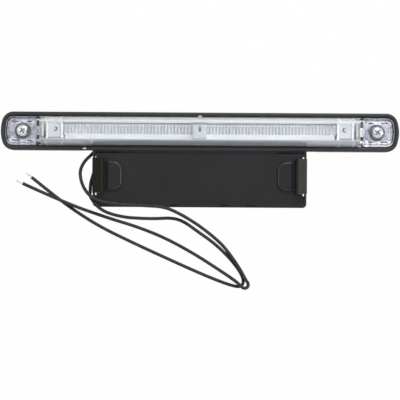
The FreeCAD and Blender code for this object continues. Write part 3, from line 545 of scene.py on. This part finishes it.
finishes = {
    "black_plastic": mouldedBlack(blackLook),
    "clear_lens": clearLens(lensLook),
    "white_plastic": mouldedWhite(whiteLook),
    "light_guide": flutedGuide(guideLook),
    "board_laminate": boardLaminate("white solder mask", (0.70, 0.73, 0.72), (0.80, 0.82, 0.81)),
    "dark_laminate": boardLaminate("dark solder mask", (0.016, 0.018, 0.04), (0.026, 0.03, 0.06)),
    "led_package": ledPhosphor(),
    "chip_black": chipBody(),
    "gland_rubber": softBlack("sealing rubber", (0.012, 0.012, 0.013), (0.02, 0.02, 0.022), 0.3, 0.6, 0.75),
    "wire_cover": softBlack("wire insulation", (0.062, 0.062, 0.062), (0.08, 0.08, 0.08), 0.02, 0.3, 0.38),
    "tinned_strand": platedMetal("tinned copper", (0.62, 0.60, 0.56), (0.80, 0.78, 0.74), 0.25, 0.4),
    "zinc_steel": zincScrew(recessShadeLook),
}


def dressCadNodes():
    for subpart in frame["record"]["subparts"]:
        mesh = cadNodes[subpart["node"]].data
        mesh.materials.clear()
        mesh.materials.append(finishes[subpart["material_slot"]])


dressCadNodes()
print("finishes on the CAD nodes")


# Small helpers for repeated pieces

def treeInput(tree, name, kind, value):
    socket = tree.interface.new_socket(name, in_out="INPUT", socket_type=kind)
    socket.default_value = value
    return socket.identifier


def newGeometryTree(name):
    tree = bpy.data.node_groups.new(name, "GeometryNodeTree")
    tree.interface.new_socket("Geometry", in_out="OUTPUT", socket_type="NodeSocketGeometry")
    return tree


def makeReal(tree, spread, outputs, finish):
    # the last nodes of every tree: real geometry, then its finish
    real = addNode(tree, "GeometryNodeRealizeInstances")
    tree.links.new(spread.outputs["Instances"], real.inputs["Geometry"])
    paint = addNode(tree, "GeometryNodeSetMaterial")
    paint.inputs["Material"].default_value = finish
    tree.links.new(real.outputs["Geometry"], paint.inputs["Geometry"])
    tree.links.new(paint.outputs["Geometry"], outputs.inputs["Geometry"])


def plainMesh(name, tree, keys, values):
    # the tree's result as a mesh of its own
    maker = bpy.data.objects.new(name + ".maker", bpy.data.meshes.new(name + ".maker"))
    scene.collection.objects.link(maker)
    modifier = maker.modifiers.new("maker", "NODES")
    modifier.node_group = tree
    for word, value in values.items():
        modifier[keys[word]] = value
    bpy.context.view_layer.update()
    graph = bpy.context.evaluated_depsgraph_get()
    mesh = bpy.data.meshes.new_from_object(maker.evaluated_get(graph), depsgraph=graph)
    mesh.name = name
    maker.modifiers.remove(modifier)
    bpy.data.objects.remove(maker)
    return mesh


def addPiece(name, mesh, node=None):
    for face in mesh.polygons:
        face.use_smooth = True
    piece = bpy.data.objects.new(name, mesh)
    scene.collection.objects.link(piece)
    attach(piece, "root")
    if node:
        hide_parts(node)
    return piece


# Screws: one turned screw with a cross recess and a thread, set at both ends of the lamp
screw = {
    "headRadius": 0.0035,
    "headHeight": 0.0026,
    "headSide": 0.0011,
    "coreRadius": 0.0013,
    "threadRadius": 0.0017,
    "threadPitch": 0.0011,
    "length": 0.0080,
    "tip": 0.0010,
    "crossLength": 0.0021,
    "crossWidth": 0.00058,
    "crossDepth": 0.0013,
    "crossSoft": 0.00022,
    "around": 96,
    "apart": 0.2112,
    "middle": (0.0, 0.01685, 0.0085),
    "firstTurn": 0.55,
    "nextTurn": 1.9,
}


def softStep(value, width):
    share = min(max(value / width, 0.0), 1.0)
    return share * share * (3 - 2 * share)


def crossCut(setup, x, y):
    cut = 0.0
    for along, across in ((abs(x), abs(y)), (abs(y), abs(x))):
        width = setup["crossWidth"] * (1 - 0.35 * along / setup["crossLength"])
        arm = softStep(width - across, setup["crossSoft"])
        end = softStep(setup["crossLength"] - along, 0.0009)
        cut = max(cut, arm * end)
    return cut * setup["crossDepth"]


def headProfile(setup):
    # radius and height from the middle of the crown to the foot of the head
    radius = setup["headRadius"]
    crown = setup["headHeight"] - setup["headSide"]
    steps = []
    for step in range(1, 31):
        reach = step / 31
        steps.append((radius * reach, setup["headSide"] + crown * math.sqrt(1 - reach ** 2.6)))
    steps.append((radius, setup["headSide"]))
    steps.append((radius, 0.0002))
    steps.append((radius - 0.0002, 0.0))
    return steps


def threadRadius(setup, depth, share):
    wave = abs(((depth / setup["threadPitch"] + share) % 1.0) * 2 - 1)
    ridge = (setup["threadRadius"] - setup["coreRadius"]) * softStep(wave - 0.45, 0.5)
    run = softStep(depth - 0.0006, 0.0008) * softStep(setup["length"] - setup["tip"] - depth, 0.0006)
    narrow = min((setup["length"] - depth) / setup["tip"], 1.0)
    return (setup["coreRadius"] + ridge * run) * (0.35 + 0.65 * narrow)


def screwMesh(setup):
    shape = bmesh.new()
    around = setup["around"]
    turns = [step / around for step in range(around)]
    rings = []
    for radius, height in headProfile(setup):
        ring = []
        for share in turns:
            x = radius * math.cos(2 * math.pi * share)
            y = radius * math.sin(2 * math.pi * share)
            ring.append(shape.verts.new((x, y, height - crossCut(setup, x, y))))
        rings.append(ring)
    for step in range(91):
        depth = setup["length"] * step / 90
        ring = []
        for share in turns:
            radius = threadRadius(setup, depth, share)
            ring.append(shape.verts.new((
                radius * math.cos(2 * math.pi * share),
                radius * math.sin(2 * math.pi * share),
                -depth,
            )))
        rings.append(ring)
    for upper, lower in zip(rings, rings[1:]):
        for step in range(around):
            following = (step + 1) % around
            shape.faces.new((upper[step], lower[step], lower[following], upper[following]))
    crown = shape.verts.new((0, 0, setup["headHeight"] - setup["crossDepth"]))
    for step in range(around):
        shape.faces.new((crown, rings[0][step], rings[0][(step + 1) % around]))
    shape.faces.new(reversed(rings[-1]))
    bmesh.ops.recalc_face_normals(shape, faces=shape.faces[:])
    mesh = bpy.data.meshes.new("screw")
    shape.to_mesh(mesh)
    shape.free()
    return mesh


def spreadPair(tree, setup, inputs, outputs, shape, finish):
    # the shape at both ends of the lamp, each turned its own way
    links = tree.links
    x, y, z = setup["middle"]
    step = addNode(tree, "ShaderNodeCombineXYZ")
    links.new(inputs.outputs["Apart"], step.inputs["X"])
    line = addNode(tree, "GeometryNodeMeshLine")
    line.inputs["Start Location"].default_value = (x - setup["apart"] / 2, y, z)
    links.new(inputs.outputs["Count"], line.inputs["Count"])
    links.new(step.outputs["Vector"], line.inputs["Offset"])
    index = addNode(tree, "GeometryNodeInputIndex")
    angle = addNode(tree, "ShaderNodeMath", operation="MULTIPLY_ADD")
    angle.inputs[1].default_value = setup["nextTurn"]
    angle.inputs[2].default_value = setup["firstTurn"]
    links.new(index.outputs["Index"], angle.inputs[0])
    turn = addNode(tree, "ShaderNodeCombineXYZ")
    links.new(angle.outputs["Value"], turn.inputs["Z"])
    spread = addNode(tree, "GeometryNodeInstanceOnPoints")
    links.new(line.outputs["Mesh"], spread.inputs["Points"])
    links.new(shape, spread.inputs["Instance"])
    links.new(turn.outputs["Vector"], spread.inputs["Rotation"])
    makeReal(tree, spread, outputs, finish)


def screwTree(setup, master, finish):
    tree = newGeometryTree("screw pair")
    keys = {
        "Count": treeInput(tree, "Count", "NodeSocketInt", 2),
        "Apart": treeInput(tree, "Apart", "NodeSocketFloat", setup["apart"]),
    }
    inputs = addNode(tree, "NodeGroupInput")
    outputs = addNode(tree, "NodeGroupOutput")
    source = addNode(tree, "GeometryNodeObjectInfo")
    source.inputs["Object"].default_value = master
    spreadPair(tree, setup, inputs, outputs, source.outputs["Geometry"], finish)
    return tree, keys


def setScrews(setup):
    master = bpy.data.objects.new("screw", screwMesh(setup))
    scene.collection.objects.link(master)
    tree, keys = screwTree(setup, master, finishes["zinc_steel"])
    mesh = plainMesh("screw_pair", tree, keys, {"Count": 2})
    bpy.data.objects.remove(master)
    addPiece("screw_pair", mesh, "fixing_screws")


setScrews(screw)
print("screws set")


# Painted shade: a dark half ring in the dimple of each end holder, standing for the shadow in its hole
holderHoleShade = {
    "ringRadius": 0.00115,
    "wireRadius": 0.00042,
    "sweep": 3.4,
    "apart": 0.171,
    "middle": (0.0, 0.01775, 0.01518),
    "firstTurn": 4.2,
    "nextTurn": -2.5,
}


def holeShadeTree(setup, finish):
    tree = newGeometryTree("holder hole shades")
    keys = {
        "Count": treeInput(tree, "Count", "NodeSocketInt", 2),
        "Apart": treeInput(tree, "Apart", "NodeSocketFloat", setup["apart"]),
        "Ring Radius": treeInput(tree, "Ring Radius", "NodeSocketFloat", setup["ringRadius"]),
        "Wire Radius": treeInput(tree, "Wire Radius", "NodeSocketFloat", setup["wireRadius"]),
    }
    links = tree.links
    inputs = addNode(tree, "NodeGroupInput")
    outputs = addNode(tree, "NodeGroupOutput")
    arc = addNode(tree, "GeometryNodeCurveArc", Resolution=24)
    arc.inputs["Sweep Angle"].default_value = setup["sweep"]
    links.new(inputs.outputs["Ring Radius"], arc.inputs["Radius"])
    ring = addNode(tree, "GeometryNodeCurvePrimitiveCircle", Resolution=12)
    links.new(inputs.outputs["Wire Radius"], ring.inputs["Radius"])
    bead = addNode(tree, "GeometryNodeCurveToMesh")
    bead.inputs["Fill Caps"].default_value = True
    links.new(arc.outputs["Curve"], bead.inputs["Curve"])
    links.new(ring.outputs["Curve"], bead.inputs["Profile Curve"])
    spreadPair(tree, setup, inputs, outputs, bead.outputs["Mesh"], finish)
    return tree, keys


def setHoleShades(setup):
    tree, keys = holeShadeTree(setup, finishes["chip_black"])
    addPiece("holder_marks", plainMesh("holder_marks", tree, keys, {"Count": 2}))


setHoleShades(holderHoleShade)
print("holder hole shades set")


# Painted highlights: two small pale bumps on the rim of the tray, white where the rim shows glints
rimGlintBumps = {
    "places": ((0.0, 0.0259, 0.0080), (-0.0688, 0.0065, 0.0080)),
    "radius": 0.0009,
    "shape": (1.3, 0.6, 0.35),
}


def glintBumpTree(setup, finish):
    tree = newGeometryTree("rim glint bumps")
    keys = {"Radius": treeInput(tree, "Radius", "NodeSocketFloat", setup["radius"])}
    links = tree.links
    inputs = addNode(tree, "NodeGroupInput")
    outputs = addNode(tree, "NodeGroupOutput")
    first, last = [Vector(place) for place in setup["places"]]
    line = addNode(tree, "GeometryNodeMeshLine", Count=2)
    line.inputs["Start Location"].default_value = first
    line.inputs["Offset"].default_value = last - first
    bump = addNode(tree, "GeometryNodeMeshUVSphere", Segments=20, Rings=12)
    links.new(inputs.outputs["Radius"], bump.inputs["Radius"])
    spread = addNode(tree, "GeometryNodeInstanceOnPoints")
    spread.inputs["Scale"].default_value = setup["shape"]
    links.new(line.outputs["Mesh"], spread.inputs["Points"])
    links.new(bump.outputs["Mesh"], spread.inputs["Instance"])
    makeReal(tree, spread, outputs, finish)
    return tree, keys


def setGlintBumps(setup):
    tree, keys = glintBumpTree(setup, finishes["white_plastic"])
    addPiece("rim_pips", plainMesh("rim_pips", tree, keys, {"Radius": setup["radius"]}))


setGlintBumps(rimGlintBumps)
print("rim glint bumps set")


# Wires: control points of each route in metres, from the gland to the bare end
wireSizes = {"diameter": 0.002, "ringSteps": 8, "steps": 14}

supplyRoute = (
    (-0.0500, 0.0154, 0.0017),
    (-0.0545, 0.0154, 0.0017),
    (-0.0584, 0.0132, 0.0015),
    (-0.0608, 0.0094, 0.0012),
    (-0.0642, 0.0038, 0.0012),
    (-0.0692, -0.0006, 0.0013),
    (-0.0720, -0.0062, 0.0026),
    (-0.0713, -0.0122, 0.0048),
    (-0.0690, -0.0175, 0.0070),
    (-0.0655, -0.0217, 0.0091),
    (-0.0608, -0.0245, 0.0096),
    (-0.0534, -0.0261, 0.0084),
    (-0.0432, -0.0269, 0.0075),
    (-0.0319, -0.0275, 0.0075),
    (-0.0214, -0.0280, 0.0075),
    (-0.0124, -0.0318, 0.0056),
    (-0.0028, -0.0375, 0.0026),
    (0.0060, -0.0439, 0.0014),
    (0.0139, -0.0507, 0.0018),
    (0.0196, -0.0579, 0.0027),
    (0.0245, -0.0652, 0.0030),
    (0.0266, -0.0690, 0.0032),
    (0.0283, -0.0721, 0.0036),
    (0.0297, -0.0740, 0.0039),
    (0.0292, -0.0762, 0.0042),
    (0.0270, -0.0769, 0.0044),
    (0.0252, -0.0755, 0.0044),
    (0.0220, -0.0724, 0.0039),
    (0.0112, -0.0653, 0.0022),
    (-0.0032, -0.0562, 0.0011),
    (-0.0205, -0.0469, 0.0011),
    (-0.0370, -0.0404, 0.0011),
    (-0.0528, -0.0357, 0.0012),
    (-0.0656, -0.0314, 0.0024),
    (-0.0750, -0.0280, 0.0038),
    (-0.0853, -0.0237, 0.0038),
    (-0.0958, -0.0193, 0.0024),
    (-0.1064, -0.0146, 0.0015),
)
returnRoute = (
    (-0.0500, 0.0113, 0.0017),
    (-0.0545, 0.0113, 0.0017),
    (-0.0584, 0.0088, 0.0015),
    (-0.0609, 0.0044, 0.0012),
    (-0.0622, -0.0016, 0.0012),
    (-0.0642, -0.0092, 0.0012),
    (-0.0657, -0.0142, 0.0014),
    (-0.0657, -0.0186, 0.0028),
    (-0.0656, -0.0221, 0.0064),
    (-0.0629, -0.0257, 0.0080),
    (-0.0604, -0.0286, 0.0075),
    (-0.0566, -0.0313, 0.0046),
    (-0.0512, -0.0332, 0.0016),
    (-0.0454, -0.0344, 0.0011),
    (-0.0396, -0.0350, 0.0011),
    (-0.0270, -0.0354, 0.0011),
    (-0.0168, -0.0347, 0.0011),
    (-0.0096, -0.0367, 0.0011),
    (-0.0007, -0.0431, 0.0011),
    (0.0084, -0.0494, 0.0011),
    (0.0168, -0.0571, 0.0011),
    (0.0229, -0.0643, 0.0011),
    (0.0265, -0.0703, 0.0011),
    (0.0267, -0.0745, 0.0011),
    (0.0242, -0.0762, 0.0011),
    (0.0194, -0.0752, 0.0011),
    (0.0132, -0.0731, 0.0011),
    (0.0023, -0.0688, 0.0011),
    (-0.0159, -0.0608, 0.0011),
    (-0.0400, -0.0499, 0.0011),
    (-0.0600, -0.0403, 0.0011),
    (-0.0760, -0.0302, 0.0011),
    (-0.0890, -0.0206, 0.0011),
    (-0.1012, -0.0108, 0.0011),
)


def layWire(name, route, sizes):
    curve = bpy.data.curves.new(name, "CURVE")
    curve.dimensions = "3D"
    spline = curve.splines.new("NURBS")
    spline.points.add(len(route) - 1)
    for point, place in zip(spline.points, route):
        point.co = (*place, 1)
    spline.order_u = 3
    spline.use_endpoint_u = True
    spline.resolution_u = sizes["steps"]
    curve.bevel_depth = sizes["diameter"] / 2
    curve.bevel_resolution = sizes["ringSteps"]
    curve.use_fill_caps = True
    curve.materials.append(finishes["wire_cover"])
    wire = bpy.data.objects.new(name, curve)
    scene.collection.objects.link(wire)
    return wire


# Bare ends: a few tinned strands twisted together
bareEnd = {
    "strands": 7,
    "strandDiameter": 0.00042,
    "bundleDiameter": 0.00078,
    "length": 0.0044,
    "turns": 0.6,
    "tuck": 0.0006,      # start inside the insulation
}


def strandTree(setup, finish):
    tree = newGeometryTree("twisted strands")
    keys = {
        "Strands": treeInput(tree, "Strands", "NodeSocketInt", setup["strands"]),
        "Strand Radius": treeInput(tree, "Strand Radius", "NodeSocketFloat", setup["strandDiameter"] / 2),
        "Bundle Radius": treeInput(tree, "Bundle Radius", "NodeSocketFloat", setup["bundleDiameter"] / 2),
        "Length": treeInput(tree, "Length", "NodeSocketFloat", setup["length"]),
        "Turns": treeInput(tree, "Turns", "NodeSocketFloat", setup["turns"]),
    }
    links = tree.links
    inputs = addNode(tree, "NodeGroupInput")
    outputs = addNode(tree, "NodeGroupOutput")
    coil = addNode(tree, "GeometryNodeCurveSpiral", Resolution=24)
    links.new(inputs.outputs["Turns"], coil.inputs["Rotations"])
    links.new(inputs.outputs["Bundle Radius"], coil.inputs["Start Radius"])
    links.new(inputs.outputs["Bundle Radius"], coil.inputs["End Radius"])
    links.new(inputs.outputs["Length"], coil.inputs["Height"])
    ring = addNode(tree, "GeometryNodeCurvePrimitiveCircle", Resolution=10)
    links.new(inputs.outputs["Strand Radius"], ring.inputs["Radius"])
    strand = addNode(tree, "GeometryNodeCurveToMesh")
    strand.inputs["Fill Caps"].default_value = True
    links.new(coil.outputs["Curve"], strand.inputs["Curve"])
    links.new(ring.outputs["Curve"], strand.inputs["Profile Curve"])

    line = addNode(tree, "GeometryNodeMeshLine")
    line.inputs["Offset"].default_value = (0, 0, 0)
    links.new(inputs.outputs["Strands"], line.inputs["Count"])
    index = addNode(tree, "GeometryNodeInputIndex")
    part = addNode(tree, "ShaderNodeMath", operation="DIVIDE")
    links.new(index.outputs["Index"], part.inputs[0])
    links.new(inputs.outputs["Strands"], part.inputs[1])
    angle = addNode(tree, "ShaderNodeMath", operation="MULTIPLY")
    angle.inputs[1].default_value = 2 * math.pi
    links.new(part.outputs["Value"], angle.inputs[0])
    turn = addNode(tree, "ShaderNodeCombineXYZ")
    links.new(angle.outputs["Value"], turn.inputs["Z"])
    spread = addNode(tree, "GeometryNodeInstanceOnPoints")
    links.new(line.outputs["Mesh"], spread.inputs["Points"])
    links.new(strand.outputs["Mesh"], spread.inputs["Instance"])
    links.new(turn.outputs["Vector"], spread.inputs["Rotation"])
    makeReal(tree, spread, outputs, finish)
    return tree, keys


def stripEnd(name, route, node, setup):
    tree, keys = strandTree(setup, finishes["tinned_strand"])
    mesh = plainMesh(name, tree, keys, {"Length": setup["length"] + setup["tuck"]})
    tip = Vector(route[-1])
    along = (tip - Vector(route[-2])).normalized()
    start = tip - along * setup["tuck"]
    mesh.transform(Matrix.Translation(start) @ along.to_track_quat("Z", "Y").to_matrix().to_4x4())
    return addPiece(name, mesh, node)


wires = (
    {"name": "supply_cord", "route": supplyRoute, "node": "supply_wire", "length": 0.325},
    {"name": "return_cord", "route": returnRoute, "node": "return_wire", "length": 0.303},
)
for wire in wires:
    cord = layWire(wire["name"], wire["route"], wireSizes)
    strands = stripEnd(wire["name"] + "_strands", wire["route"], wire["node"] + "_end", bareEnd)
    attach(cord, "root")
    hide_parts(wire["node"])
print("wires laid")
